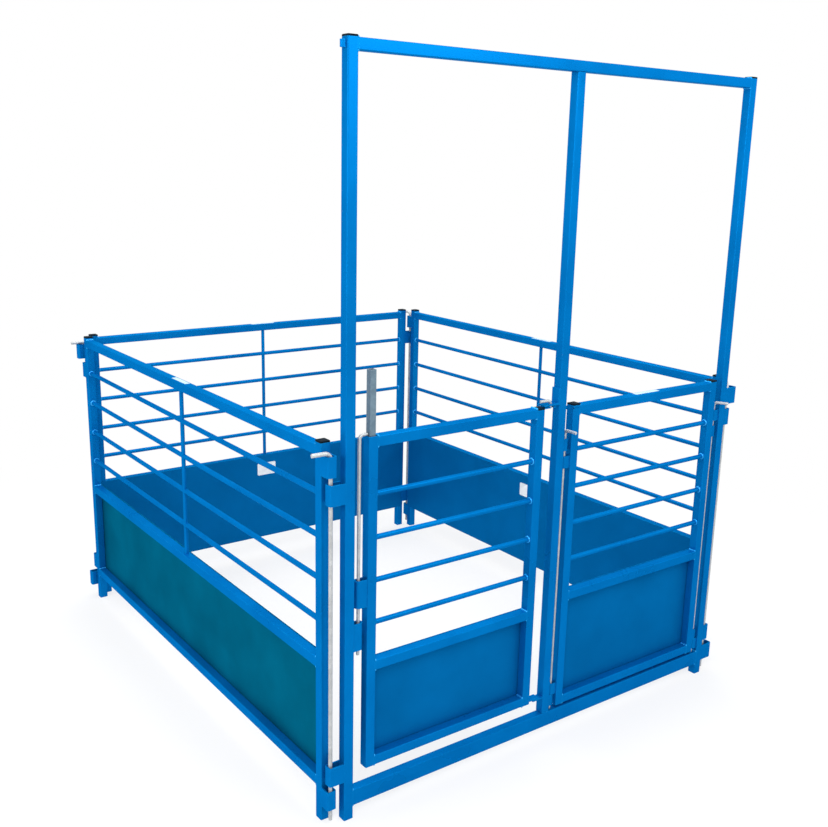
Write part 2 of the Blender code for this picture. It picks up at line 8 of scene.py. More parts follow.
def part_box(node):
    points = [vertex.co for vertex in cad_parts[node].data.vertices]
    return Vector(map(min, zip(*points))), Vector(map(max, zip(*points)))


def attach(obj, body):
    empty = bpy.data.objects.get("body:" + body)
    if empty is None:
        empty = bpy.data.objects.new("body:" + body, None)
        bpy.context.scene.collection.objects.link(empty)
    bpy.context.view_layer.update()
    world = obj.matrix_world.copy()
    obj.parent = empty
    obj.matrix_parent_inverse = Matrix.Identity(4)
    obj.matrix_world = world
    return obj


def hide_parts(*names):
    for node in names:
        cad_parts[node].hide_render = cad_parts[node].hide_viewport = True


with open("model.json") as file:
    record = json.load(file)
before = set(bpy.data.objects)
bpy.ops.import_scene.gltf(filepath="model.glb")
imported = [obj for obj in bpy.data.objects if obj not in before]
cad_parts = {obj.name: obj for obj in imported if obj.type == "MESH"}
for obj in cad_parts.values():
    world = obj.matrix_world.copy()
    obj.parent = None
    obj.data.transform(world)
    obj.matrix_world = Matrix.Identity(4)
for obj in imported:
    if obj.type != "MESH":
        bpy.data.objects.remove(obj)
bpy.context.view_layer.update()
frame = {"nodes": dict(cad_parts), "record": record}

# The view: the pen is seen from its front left corner, from well above the panels' tops, with the camera
# tipped down and slightly rolled. Distances run from the middle of the front frame's face and the floor.
IMAGE_WIDTH = 828
FOCAL_LENGTH = 1009.38
FILM_WIDTH = 36.0
EYE_LEFT = 2.1137
EYE_FRONT = 2.1064
EYE_HEIGHT = 1.8119
EYE_YAW = 36.350
EYE_TILT = 13.982
EYE_ROLL = -1.253
rail_low, rail_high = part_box("front_top_rail")
frame_middle = (rail_low[0] + rail_high[0]) / 2
eye = Vector((frame_middle - EYE_LEFT, rail_low[1] - EYE_FRONT, EYE_HEIGHT))
yaw, tilt, roll = (math.radians(angle) for angle in (EYE_YAW, EYE_TILT, EYE_ROLL))
forward = Vector((math.sin(yaw) * math.cos(tilt), math.cos(yaw) * math.cos(tilt), -math.sin(tilt)))
level = Vector((math.cos(yaw), -math.sin(yaw), 0.0))
down = forward.cross(level)
image_right = math.cos(roll) * level + math.sin(roll) * down
image_down = math.cos(roll) * down - math.sin(roll) * level
bpy.ops.object.select_all(action="DESELECT")
bpy.ops.object.camera_add(location=eye)
camera = bpy.context.object
camera.name = "photo_camera"
turned = Matrix((image_right, -image_down, -forward)).transposed().to_4x4()
camera.matrix_world = Matrix.Translation(eye) @ turned
camera.data.sensor_fit = "HORIZONTAL"
camera.data.sensor_width = FILM_WIDTH
camera.data.lens = FILM_WIDTH * FOCAL_LENGTH / IMAGE_WIDTH
camera.data.dof.use_dof = False
bpy.context.scene.camera = camera
bpy.context.scene.view_settings.view_transform = "Standard"


# The studio: a near-white floor that keeps a faint shadow and fades to white away from the pen, a white
# surround, a soft lamp over the front left, a soft box before the goal post, a narrow strip beside the
# view for the posts' corners, and wide lamps at the left, at the right and overhead.
FLOOR_SIZE = 60.0
FLOOR_DROP = 0.0005
FLOOR_WHITE = (0.93, 0.93, 0.93, 1.0)
FLOOR_GLOW = 0.68
FADE_START = 1.4
FADE_END = 3.0
BACKDROP_WHITE = (1.0, 1.0, 1.0, 1.0)
SURROUND_WHITE = (0.97, 0.985, 1.0, 1.0)
SURROUND_LIGHT = 0.60


def add_node(tree, kind, values=None, **settings):
    made = tree.nodes.new(kind)
    for key, value in settings.items():
        setattr(made, key, value)
    for key, value in (values or {}).items():
        made.inputs[key].default_value = value
    return made


def seen_directly(tree):
    """One where the camera, a reflection or clear glass looks; nought for the light that bounces about."""
    path = add_node(tree, "ShaderNodeLightPath")
    first = add_node(tree, "ShaderNodeMath", operation="MAXIMUM")
    both = add_node(tree, "ShaderNodeMath", operation="MAXIMUM")
    tree.links.new(path.outputs["Is Camera Ray"], first.inputs[0])
    tree.links.new(path.outputs["Is Glossy Ray"], first.inputs[1])
    tree.links.new(first.outputs[0], both.inputs[0])
    tree.links.new(path.outputs["Is Transmission Ray"], both.inputs[1])
    return both.outputs[0]


bpy.ops.object.select_all(action="DESELECT")
bpy.ops.mesh.primitive_plane_add(size=FLOOR_SIZE, location=(0.0, 0.0, -FLOOR_DROP))
floor = bpy.context.object
floor.name = "studio_floor"
floor_look = bpy.data.materials.new("studio_floor")
floor_look.use_nodes = True
tree = floor_look.node_tree
tree.nodes.clear()
place = add_node(tree, "ShaderNodeTexCoord")
distance = add_node(tree, "ShaderNodeVectorMath", operation="LENGTH")
fade_range = {"From Min": FADE_START, "From Max": FADE_END, "To Min": FLOOR_GLOW}
fade = add_node(tree, "ShaderNodeMapRange", fade_range, interpolation_type="SMOOTHSTEP")
white = add_node(tree, "ShaderNodeMath", operation="MULTIPLY")
matt = add_node(tree, "ShaderNodeBsdfDiffuse", {"Color": FLOOR_WHITE})
bright = add_node(tree, "ShaderNodeEmission", {"Color": BACKDROP_WHITE, "Strength": 1.0})
blend = add_node(tree, "ShaderNodeMixShader")
surface = add_node(tree, "ShaderNodeOutputMaterial")
tree.links.new(place.outputs["Object"], distance.inputs[0])
tree.links.new(distance.outputs["Value"], fade.inputs["Value"])
tree.links.new(fade.outputs["Result"], white.inputs[0])
tree.links.new(seen_directly(tree), white.inputs[1])
tree.links.new(white.outputs[0], blend.inputs["Fac"])
tree.links.new(matt.outputs[0], blend.inputs[1])
tree.links.new(bright.outputs[0], blend.inputs[2])
tree.links.new(blend.outputs[0], surface.inputs["Surface"])
floor.data.materials.append(floor_look)

world = bpy.data.worlds.new("studio")
bpy.context.scene.world = world
world.use_nodes = True
tree = world.node_tree
tree.nodes.clear()
surround = add_node(tree, "ShaderNodeBackground", {"Color": SURROUND_WHITE, "Strength": SURROUND_LIGHT})
backdrop = add_node(tree, "ShaderNodeBackground", {"Color": BACKDROP_WHITE, "Strength": 1.0})
blend = add_node(tree, "ShaderNodeMixShader")
surface = add_node(tree, "ShaderNodeOutputWorld")
tree.links.new(seen_directly(tree), blend.inputs["Fac"])
tree.links.new(surround.outputs[0], blend.inputs[1])
tree.links.new(backdrop.outputs[0], blend.inputs[2])
tree.links.new(blend.outputs[0], surface.inputs["Surface"])

for name, spot, target, width, height, power in (
    ("key_lamp", (-1.9, -2.9, 3.5), (0.0, 0.0, 0.6), 1.8, 1.8, 46.0),
    ("front_box", (0.35, -2.6, 2.9), (-0.4, -0.95, 2.0), 1.6, 2.0, 34.0),
    ("strip_lamp", (-2.75, -3.05, 2.1), (-0.75, -0.95, 1.7), 0.25, 1.5, 14.0),
    ("left_lamp", (-4.4, -0.4, 2.2), (-0.8, 0.0, 0.4), 3.0, 1.8, 72.0),
    ("fill_lamp", (4.6, -2.4, 3.0), (0.0, 0.0, 0.6), 3.5, 3.5, 40.0),
    ("top_lamp", (0.2, 1.4, 5.0), (0.0, 0.0, 0.6), 4.0, 4.0, 140.0),
):
    bpy.ops.object.select_all(action="DESELECT")
    bpy.ops.object.light_add(type="AREA", location=spot)
    lamp = bpy.context.object
    lamp.name = name
    lamp.data.shape = "RECTANGLE"
    lamp.data.size = width
    lamp.data.size_y = height
    lamp.data.energy = power
    lamp.rotation_euler = (Vector(target) - Vector(spot)).to_track_quat("-Z", "Y").to_euler()


# Welded steel in blue paint: square tube, round bar and strap are welded, then sprayed in one gloss coat.
# The coat is a little uneven and has a faint orange peel. Its edges are lighter blue in patches, partly
# thin paint on worn edges and partly a painted highlight. The left panel's sheet is darker and greener:
# painted shade.
BLUE_DEEP = (0.0006, 0.127, 0.390, 1.0)
BLUE_FULL = (0.0008, 0.158, 0.464, 1.0)
BLUE_THIN_AND_HIGHLIGHT = (0.008, 0.340, 0.740, 1.0)
BARE_STEEL = (0.420, 0.500, 0.560, 1.0)
COAT_RIM = (0.010, 0.620, 0.950, 1.0)
SHEET_DEEP = (0.0008, 0.105, 0.300, 1.0)
SHEET_FULL = (0.0010, 0.128, 0.360, 1.0)
# The left sheet's darker, greener colours are painted shade on the same coat as the other sheets.
SHADE_GREEN_DEEP = (0.0007, 0.090, 0.150, 1.0)
SHADE_GREEN_FULL = (0.0009, 0.126, 0.214, 1.0)
# Weld beads: a lighter blue, partly thinner paint and partly a painted highlight.
WELD_THIN_AND_HIGHLIGHT_DEEP = (0.0100, 0.260, 0.660, 1.0)
WELD_THIN_AND_HIGHLIGHT_FULL = (0.0500, 0.420, 0.820, 1.0)
THIN_AND_HIGHLIGHT_SHARE = 0.75
BARE_SHARE = 0.55
GLOSS_SPREAD = 0.14
PEEL_STRENGTH = 0.16
PEEL_DEPTH = 0.0004
DENT_STRENGTH = 0.5


def new_group(name, inputs, outputs):
    """A shader node group with number sockets."""
    group = bpy.data.node_groups.new(name, "ShaderNodeTree")
    for socket, value in inputs.items():
        made = group.interface.new_socket(socket, in_out="INPUT", socket_type="NodeSocketFloat")
        made.default_value = value
    for socket in outputs:
        group.interface.new_socket(socket, in_out="OUTPUT", socket_type="NodeSocketFloat")
    return group, group.nodes.new("NodeGroupInput"), group.nodes.new("NodeGroupOutput")


# Edge mask: its first output lightens painted edges as a painted highlight and thin coat; its second is
# bare steel.
wear_and_highlight_sizes = {"Width": 0.002, "Breakup": 45.0}
edge_wear_and_highlight, given, result = new_group("edge_wear_and_highlight", wear_and_highlight_sizes, ["Thin_and_highlight", "Bare"])
rounded = add_node(edge_wear_and_highlight, "ShaderNodeBevel", samples=4)
geometry = add_node(edge_wear_and_highlight, "ShaderNodeNewGeometry")
agree = add_node(edge_wear_and_highlight, "ShaderNodeVectorMath", operation="DOT_PRODUCT")
edge = add_node(edge_wear_and_highlight, "ShaderNodeMapRange", {"From Min": 0.995, "From Max": 0.86})
place = add_node(edge_wear_and_highlight, "ShaderNodeTexCoord")
patches = add_node(edge_wear_and_highlight, "ShaderNodeTexNoise", {"Detail": 5.0, "Roughness": 0.62})
thin_and_highlight_patches = add_node(edge_wear_and_highlight, "ShaderNodeMapRange", {"From Min": 0.34, "From Max": 0.60})
bare_patches = add_node(edge_wear_and_highlight, "ShaderNodeMapRange", {"From Min": 0.66, "From Max": 0.74})
thin_and_highlight = add_node(edge_wear_and_highlight, "ShaderNodeMath", operation="MULTIPLY")
bare = add_node(edge_wear_and_highlight, "ShaderNodeMath", operation="MULTIPLY")
edge_wear_and_highlight.links.new(given.outputs["Width"], rounded.inputs["Radius"])
edge_wear_and_highlight.links.new(rounded.outputs["Normal"], agree.inputs[0])
edge_wear_and_highlight.links.new(geometry.outputs["Normal"], agree.inputs[1])
edge_wear_and_highlight.links.new(agree.outputs["Value"], edge.inputs["Value"])
edge_wear_and_highlight.links.new(place.outputs["Object"], patches.inputs["Vector"])
edge_wear_and_highlight.links.new(given.outputs["Breakup"], patches.inputs["Scale"])
edge_wear_and_highlight.links.new(patches.outputs["Fac"], thin_and_highlight_patches.inputs["Value"])
edge_wear_and_highlight.links.new(patches.outputs["Fac"], bare_patches.inputs["Value"])
for patch, worn, socket in ((thin_and_highlight_patches, thin_and_highlight, "Thin_and_highlight"), (bare_patches, bare, "Bare")):
    edge_wear_and_highlight.links.new(edge.outputs["Result"], worn.inputs[0])
    edge_wear_and_highlight.links.new(patch.outputs["Result"], worn.inputs[1])
    edge_wear_and_highlight.links.new(worn.outputs[0], result.inputs[socket])

uneven, given, result = new_group("uneven_coat", {"Cloud": 4.0, "Peel": 320.0}, ["Cloud", "Peel"])
place = add_node(uneven, "ShaderNodeTexCoord")
for socket, detail in (("Cloud", 4.0), ("Peel", 2.0)):
    grain = add_node(uneven, "ShaderNodeTexNoise", {"Detail": detail, "Roughness": 0.55})
    uneven.links.new(place.outputs["Object"], grain.inputs["Vector"])
    uneven.links.new(given.outputs[socket], grain.inputs["Scale"])
    uneven.links.new(grain.outputs["Fac"], result.inputs[socket])


def place_group(tree, group, values):
    made = tree.nodes.new("ShaderNodeGroup")
    made.node_tree = group
    for socket, value in values.items():
        made.inputs[socket].default_value = value
    return made


def mix_colour(tree, factor, first, second):
    """Mix two colours, each a socket or a plain value, by a factor socket."""
    first_socket, second_socket, result_socket = 6, 7, 2
    mix = add_node(tree, "ShaderNodeMix", data_type="RGBA")
    tree.links.new(factor, mix.inputs["Factor"])
    for socket, colour in ((mix.inputs[first_socket], first), (mix.inputs[second_socket], second)):
        if isinstance(colour, tuple):
            socket.default_value = colour
        else:
            tree.links.new(colour, socket)
    return mix.outputs[result_socket]


def ranged(tree, source, low, high, start=0.3, end=0.7):
    """Stretch a value that runs from start to end over low to high."""
    span = add_node(tree, "ShaderNodeMapRange",
                    {"From Min": start, "From Max": end, "To Min": low, "To Max": high})
    tree.links.new(source, span.inputs["Value"])
    return span.outputs["Result"]


def start_material(name, colour):
    look = bpy.data.materials.new(name)
    look.use_nodes = True
    look.diffuse_color = colour
    return look, look.node_tree, look.node_tree.nodes["Principled BSDF"]


def add_relief(tree, shader, heights):
    """Chain bumps: each height is a value socket, with its strength and depth in metres."""
    last = None
    for height, strength, depth in heights:
        bump = add_node(tree, "ShaderNodeBump", {"Strength": strength, "Distance": depth})
        tree.links.new(height, bump.inputs["Height"])
        if last is not None:
            tree.links.new(last, bump.inputs["Normal"])
        last = bump.outputs["Normal"]
    tree.links.new(last, shader.inputs["Normal"])


def paint_look(name, deep, full, gloss, flake, waves):
    """The coat; flake is the share of metal flake in it, and waves the depth of a thin sheet's dents."""
    look, tree, shader = start_material(name, full)
    coat = place_group(tree, uneven, {"Cloud": 5.0, "Peel": 340.0})
    wear_and_highlight = place_group(tree, edge_wear_and_highlight, {"Width": 0.0022, "Breakup": 55.0})
    colour = mix_colour(tree, ranged(tree, coat.outputs["Cloud"], 0.0, 1.0), deep, full)
    thin_and_highlight_share = ranged(tree, wear_and_highlight.outputs["Thin_and_highlight"], 0.0, THIN_AND_HIGHLIGHT_SHARE, 0.0, 1.0)
    bare_share = ranged(tree, wear_and_highlight.outputs["Bare"], 0.0, BARE_SHARE, 0.0, 1.0)
    # Lighter blue along the edges: a painted highlight, partly thin coat as well.
    thinned_and_highlighted = mix_colour(tree, thin_and_highlight_share, colour, BLUE_THIN_AND_HIGHLIGHT)
    worn = mix_colour(tree, bare_share, thinned_and_highlighted, BARE_STEEL)
    roughness = ranged(tree, coat.outputs["Cloud"], gloss, gloss + GLOSS_SPREAD)
    tree.links.new(worn, shader.inputs["Base Color"])
    tree.links.new(roughness, shader.inputs["Roughness"])
    shader.inputs["Metallic"].default_value = flake
    shader.inputs["Specular IOR Level"].default_value = 0.0
    shader.inputs["Specular Tint"].default_value = COAT_RIM
    heights = [(coat.outputs["Peel"], PEEL_STRENGTH, PEEL_DEPTH)]
    if waves:
        dents = place_group(tree, uneven, {"Cloud": 2.6, "Peel": 1.3})
        heights.append((dents.outputs["Cloud"], DENT_STRENGTH, waves))
    add_relief(tree, shader, heights)
    return look


tube_paint = paint_look("blue_tube_paint", BLUE_DEEP, BLUE_FULL, gloss=0.24, flake=0.40, waves=0.0)
sheet_paint = paint_look("blue_sheet_paint", SHEET_DEEP, SHEET_FULL, gloss=0.36, flake=0.25, waves=0.006)
# The left sheet's coat: painted shade, darker and greener than the rest.
shade_green_sheet_paint = paint_look("shade_green_sheet_paint", SHADE_GREEN_DEEP, SHADE_GREEN_FULL,
                               gloss=0.40, flake=0.45, waves=0.006)
# The welds' lighter blue is partly thinner paint and partly a painted highlight.
weld_paint_with_highlight = paint_look("blue_weld_paint_with_highlight", WELD_THIN_AND_HIGHLIGHT_DEEP, WELD_THIN_AND_HIGHLIGHT_FULL, gloss=0.20, flake=0.50, waves=0.0)


# The goal-post front frame: three posts with folded strap lugs, a top rail and a taller sill, in square
# tube. Each solid is skinned with eased edges, so that its corners catch the light as rolled tube does.
body_for = {node: body for body, nodes in frame["record"]["behaviour"]["bodies"].items() for node in nodes}
TUBE_EASE = 0.0005
TUBE_SMOOTH = 50.0
HARD_EDGE = 60.0
FLAT_JOIN = 1.0
MERGE_DISTANCE = 0.00001


def finished(node, look, ease=TUBE_EASE, rounds=0, smooth=TUBE_SMOOTH):
    """Skin one solid: merge its triangles into faces, ease its hard edges and smooth its round ones."""
    bpy.ops.object.select_all(action="DESELECT")
    piece = bpy.data.objects.new(f"{node}_finished", frame["nodes"][node].data.copy())
    bpy.context.scene.collection.objects.link(piece)
    piece.select_set(True)
    bpy.context.view_layer.objects.active = piece
    bpy.ops.mesh.customdata_custom_splitnormals_clear()
    bpy.ops.object.mode_set(mode="EDIT")
    bpy.ops.mesh.select_all(action="SELECT")
    bpy.ops.mesh.remove_doubles(threshold=MERGE_DISTANCE)
    bpy.ops.mesh.dissolve_limited(angle_limit=math.radians(FLAT_JOIN))
    bpy.ops.object.mode_set(mode="OBJECT")
    if ease:
        bevel = piece.modifiers.new("eased_edges", "BEVEL")
        bevel.width = ease
        bevel.segments = 2
        bevel.limit_method = "ANGLE"
        bevel.angle_limit = math.radians(HARD_EDGE)
        bpy.ops.object.modifier_apply(modifier=bevel.name)
    if rounds:
        subdivision = piece.modifiers.new("rounded", "SUBSURF")
        subdivision.levels = rounds
        subdivision.render_levels = rounds
        bpy.ops.object.modifier_apply(modifier=subdivision.name)
    bpy.ops.object.shade_smooth_by_angle(angle=math.radians(smooth))
    if not rounds:
        weighted = piece.modifiers.new("flat_faces", "WEIGHTED_NORMAL")
        weighted.keep_sharp = True
        bpy.ops.object.modifier_apply(modifier=weighted.name)
    piece.data.materials.clear()
    piece.data.materials.append(look)
    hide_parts(node)
    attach(piece, body_for[node])


for node in ("front_post_left", "front_post_middle", "front_post_right", "front_top_rail", "front_sill"):
    finished(node, tube_paint)


# The three panels: end posts with lugs, a top and a bottom rail, a welded grid of round bars, brace and
# sheet rail, and a thin steel sheet laid over the inside of the lower half.
SHEET_EASE = 0.0003
ROUND_SMOOTH = 40.0
for side in ("left", "back", "right"):
    ends = ("left", "right") if side == "back" else ("front", "back")
    for end in ends:
        finished(f"{side}_panel_post_{end}", tube_paint)
    for rail in ("top_rail", "bottom_rail"):
        finished(f"{side}_panel_{rail}", tube_paint)
    finished(f"{side}_panel_bar_grid", tube_paint, ease=0.0, smooth=ROUND_SMOOTH)
    # The left panel's sheet takes the darker, greener painted shade.
    sheet_coat = shade_green_sheet_paint if side == "left" else sheet_paint
    finished(f"{side}_panel_sheet", sheet_coat, ease=SHEET_EASE)


# The gate and the leaf: two stiles, three rails and four round bars each, with a sheet on the inside.
# The bars are cold-drawn rod, so they are rounded off past the facets of their solids.
BAR_COUNT = 4
BAR_EASE = 0.0004
stile_names = {"gate": ("hinge_stile", "latch_stile"), "leaf": ("stile_left", "stile_right")}
for name, stiles in stile_names.items():
    for stile in stiles:
        finished(f"{name}_{stile}", tube_paint)
    for rail in ("top_rail", "sheet_rail", "bottom_rail"):
        finished(f"{name}_{rail}", tube_paint)
    for number in range(1, BAR_COUNT + 1):
        bar = f"{name}_bar_{number}"
        finished(bar, tube_paint, ease=BAR_EASE, rounds=1, smooth=ROUND_SMOOTH)
    finished(f"{name}_sheet", sheet_paint, ease=SHEET_EASE)


# The drop rods, the latch pin and the loose square post: bare steel with a dull zinc coat that has set in
# faint crystals, bent cold at the handle and cropped at the tip.
ROD_EASE = 0.0012
ZINC_METAL = 0.6
ROD_DARK = (0.345, 0.362, 0.370, 1.0)
ROD_LIGHT = (0.560, 0.575, 0.580, 1.0)
ROD_SCUFF = (0.660, 0.675, 0.680, 1.0)
POST_DARK = (0.090, 0.150, 0.200, 1.0)
POST_LIGHT = (0.170, 0.250, 0.310, 1.0)
POST_SCUFF = (0.400, 0.460, 0.500, 1.0)


def zinc_look(name, dark, light, scuff):
    look, tree, shader = start_material(name, light)
    place = add_node(tree, "ShaderNodeTexCoord")
    crystals = add_node(tree, "ShaderNodeTexVoronoi", {"Scale": 150.0, "Randomness": 1.0})
    crystal_tone = add_node(tree, "ShaderNodeSeparateColor")
    coat = place_group(tree, uneven, {"Cloud": 28.0, "Peel": 600.0})
    wear_and_highlight = place_group(tree, edge_wear_and_highlight, {"Width": 0.0015, "Breakup": 120.0})
    tree.links.new(place.outputs["Object"], crystals.inputs["Vector"])
    tree.links.new(crystals.outputs["Color"], crystal_tone.inputs["Color"])
    tone = add_node(tree, "ShaderNodeMath", operation="MULTIPLY")
    tree.links.new(ranged(tree, crystal_tone.outputs["Red"], 0.55, 1.0, 0.0, 1.0), tone.inputs[0])
    tree.links.new(ranged(tree, coat.outputs["Cloud"], 0.4, 1.0), tone.inputs[1])
    spangled = mix_colour(tree, tone.outputs[0], dark, light)
    scuffed = mix_colour(tree, wear_and_highlight.outputs["Thin_and_highlight"], spangled, scuff)
    tree.links.new(scuffed, shader.inputs["Base Color"])
    tree.links.new(ranged(tree, coat.outputs["Cloud"], 0.36, 0.58), shader.inputs["Roughness"])
    shader.inputs["Metallic"].default_value = ZINC_METAL
    heights = [(coat.outputs["Peel"], 0.2, 0.0003), (crystal_tone.outputs["Green"], 0.06, 0.0003)]
    add_relief(tree, shader, heights)
    return look


rod_zinc = zinc_look("bright_zinc", ROD_DARK, ROD_LIGHT, ROD_SCUFF)
post_zinc = zinc_look("dull_zinc", POST_DARK, POST_LIGHT, POST_SCUFF)

rods = [f"corner_rod_{corner}" for corner in ("front_left", "front_right", "back_left", "back_right")]
rods += ["gate_hinge_rod", "leaf_rod_left", "leaf_rod_right", "gate_latch_pin"]
for node in rods:
    finished(node, rod_zinc, ease=ROD_EASE, rounds=1, smooth=ROUND_SMOOTH)
finished("socket_post", post_zinc)


# Plug caps: moulded black plastic pushed into the tubes' open ends, each with a low crowned head. Those
# of the leaf's two stiles and of the gate's latch stile are made here, the head first and then the stem.
PLASTIC_BLACK = (0.001, 0.005, 0.010, 1.0)
PLASTIC_GREY = (0.004, 0.013, 0.022, 1.0)
PLASTIC_SCUFF = (0.020, 0.036, 0.050, 1.0)
PLASTIC_SHINE = 0.03
TUBE_WALL = 0.002
CAP_EASE = 0.0004
CAP_HEAD = 0.005
CAP_STEM = 0.010
CAP_GAP = 0.0003
CAP_BEVEL = 0.0015

plastic, tree, shader = start_material("moulded_black", PLASTIC_BLACK)
skin = place_group(tree, uneven, {"Cloud": 60.0, "Peel": 1400.0})
wear_and_highlight = place_group(tree, edge_wear_and_highlight, {"Width": 0.0015, "Breakup": 180.0})
tone = mix_colour(tree, ranged(tree, skin.outputs["Cloud"], 0.0, 1.0), PLASTIC_BLACK, PLASTIC_GREY)
scuffed = mix_colour(tree, wear_and_highlight.outputs["Thin_and_highlight"], tone, PLASTIC_SCUFF)
tree.links.new(scuffed, shader.inputs["Base Color"])
tree.links.new(ranged(tree, skin.outputs["Cloud"], 0.50, 0.70), shader.inputs["Roughness"])
shader.inputs["Specular IOR Level"].default_value = PLASTIC_SHINE
add_relief(tree, shader, [(skin.outputs["Peel"], 0.25, 0.0002)])

for node in [name for name in frame["nodes"] if "_cap_" in name]:
    finished(node, plastic, ease=CAP_EASE)


def plug_cap(stile, name):
    """A bevelled head over the stile's open top, and a stem drawn down into the tube."""
    low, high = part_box(stile)
    rail_start, rail_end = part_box(f"{name}_top_rail")
    width = rail_end[1] - rail_start[1]
    middle_x = rail_start[0] - width / 2 if low[0] < rail_start[0] else rail_end[0] + width / 2
    middle_y = (rail_start[1] + rail_end[1]) / 2
    tube_top = high[2] if stile != "gate_latch_stile" else high[2] - CAP_HEAD - CAP_GAP
    bpy.ops.object.select_all(action="DESELECT")
    centre = (middle_x, middle_y, tube_top + CAP_GAP + CAP_HEAD / 2)
    bpy.ops.mesh.primitive_cube_add(size=1.0, location=centre)
    cap = bpy.context.object
    cap.name = f"{stile}_cap"
    cap.scale = (width, width, CAP_HEAD)
    bpy.ops.object.transform_apply(location=True, rotation=False, scale=True)
    for face in cap.data.polygons:
        face.select = face.normal.z < -0.9
    bpy.ops.object.mode_set(mode="EDIT")
    bpy.ops.mesh.select_mode(type="FACE")
    bpy.ops.mesh.inset(thickness=TUBE_WALL + CAP_GAP)
    bpy.ops.mesh.extrude_region_move(TRANSFORM_OT_translate={"value": (0.0, 0.0, -CAP_STEM)})
    bpy.ops.object.mode_set(mode="OBJECT")
    bevel = cap.modifiers.new("crown", "BEVEL")
    bevel.width = CAP_BEVEL
    bevel.segments = 3
    bevel.limit_method = "ANGLE"
    bpy.ops.object.modifier_apply(modifier=bevel.name)
    bpy.ops.object.shade_smooth_by_angle(angle=math.radians(ROUND_SMOOTH))
    cap.data.materials.append(plastic)
    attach(cap, body_for[stile])


plug_cap("leaf_stile_left", "leaf")
plug_cap("leaf_stile_right", "leaf")
plug_cap("gate_latch_stile", "gate")


# Welds: where a bar or rail meets a post it is welded by hand and painted over. A bar has a bead all round
# it. A rail has a rippled bead along its top and its underside, and its two faces are ground flush. The
# beads are a lighter blue, partly thinner paint and partly a painted highlight.
BAR = 0.016
BEAD = 0.0034
BEAD_SMOOTH = 180.0
RING_BEAD = 0.9 * BEAD
RING_STANDOFF = 0.0004
RING_UNEVEN = 0.0005
RIPPLES = 9
RIPPLE_RUN = 0.022
RIPPLE_LENGTH = 1.25
RIPPLE_WIDTH_SWING = 0.12
RIPPLE_HEIGHT_SWING = 0.10
TUBE_CORNER = 0.003
GROUND_WIDTH = 0.0056
GROUND_DEPTH = 0.003
GROUND_HEIGHT = 0.024
GROUND_RISE = 0.0001
GROUND_SHIFT = 0.001
GROUND_BEVEL = 0.0004
GROUND_SMOOTH = 20.0


def centre_of(low, high):
    return [(low[axis] + high[axis]) / 2 for axis in range(3)]


bpy.ops.object.select_all(action="DESELECT")
bpy.ops.mesh.primitive_torus_add(major_radius=BAR / 2 + RING_STANDOFF, minor_radius=RING_BEAD,
                                 major_segments=26, minor_segments=8,
                                 rotation=(0.0, math.radians(90), 0.0))
ring_bead = bpy.context.object
bpy.ops.object.transform_apply(location=False, rotation=True, scale=False)
bpy.ops.object.mode_set(mode="EDIT")
bpy.ops.mesh.select_all(action="SELECT")
bpy.ops.transform.vertex_random(offset=RING_UNEVEN, seed=4)
bpy.ops.object.mode_set(mode="OBJECT")

ripple_marks = []
for index in range(RIPPLES):
    along = (index / (RIPPLES - 1) - 0.5) * RIPPLE_RUN
    bpy.ops.object.select_all(action="DESELECT")
    bpy.ops.mesh.primitive_uv_sphere_add(segments=8, ring_count=5, radius=BEAD,
                                         location=(0.0, along, 0.0))
    ripple = bpy.context.object
    wide = 1.0 + RIPPLE_WIDTH_SWING * math.sin(2.3 * index)
    tall = 1.0 + RIPPLE_HEIGHT_SWING * math.cos(1.7 * index)
    ripple.scale = (wide, RIPPLE_LENGTH, tall)
    ripple_marks.append(ripple)
bpy.ops.object.select_all(action="DESELECT")
for ripple in ripple_marks:
    ripple.select_set(True)
bpy.context.view_layer.objects.active = ripple_marks[0]
bpy.ops.object.join()
row_bead = bpy.context.object
bpy.ops.object.transform_apply(location=True, rotation=True, scale=True)

bpy.ops.object.select_all(action="DESELECT")
bpy.ops.mesh.primitive_cube_add(size=1.0)
ground_weld = bpy.context.object
ground_weld.scale = (GROUND_WIDTH, GROUND_DEPTH, GROUND_HEIGHT)
bpy.ops.object.transform_apply(location=False, rotation=False, scale=True)
bevel = ground_weld.modifiers.new("ground_edge", "BEVEL")
bevel.width = GROUND_BEVEL
bevel.segments = 2
bpy.ops.object.modifier_apply(modifier=bevel.name)

beads = {"pen": [], "gate": []}
ground = {"pen": [], "gate": []}


def lay_bead(master, laid, spot, run, height=1.0):
    """Copy a bead to a spot; run is the axis of the tube or bar, 0 for X and 1 for Y.

    height stretches a ground weld to suit a taller rail.
    """
    bead = bpy.data.objects.new("bead", master.data.copy())
    bpy.context.scene.collection.objects.link(bead)
    bead.rotation_euler = (0.0, 0.0, math.radians(90) if run else 0.0)
    bead.location = spot
    bead.scale = (1.0, 1.0, height)
    laid.append(bead)


def weld_bar(body, run, start, end, across, height):
    for along in (start, end):
        spot = (along, across, height) if run == 0 else (across, along, height)
        lay_bead(ring_bead, beads[body], spot, run)


def weld_rail(body, low, high, run):
    middle = centre_of(low, high)
    side = 1 - run
    flat = (high[2] - low[2] - 2 * TUBE_CORNER) / GROUND_HEIGHT
    for along, outwards in ((low[run], -1), (high[run], 1)):
        for height in (low[2], high[2]):
            spot = list(middle)
            spot[run] = along
            spot[2] = height
            lay_bead(row_bead, beads[body], spot, run)
        for face, inwards in ((low[side], 1), (high[side], -1)):
            spot = list(middle)
            spot[run] = along + outwards * GROUND_SHIFT
            spot[side] = face + inwards * (GROUND_DEPTH / 2 - GROUND_RISE)
            lay_bead(ground_weld, ground[body], spot, run, flat)


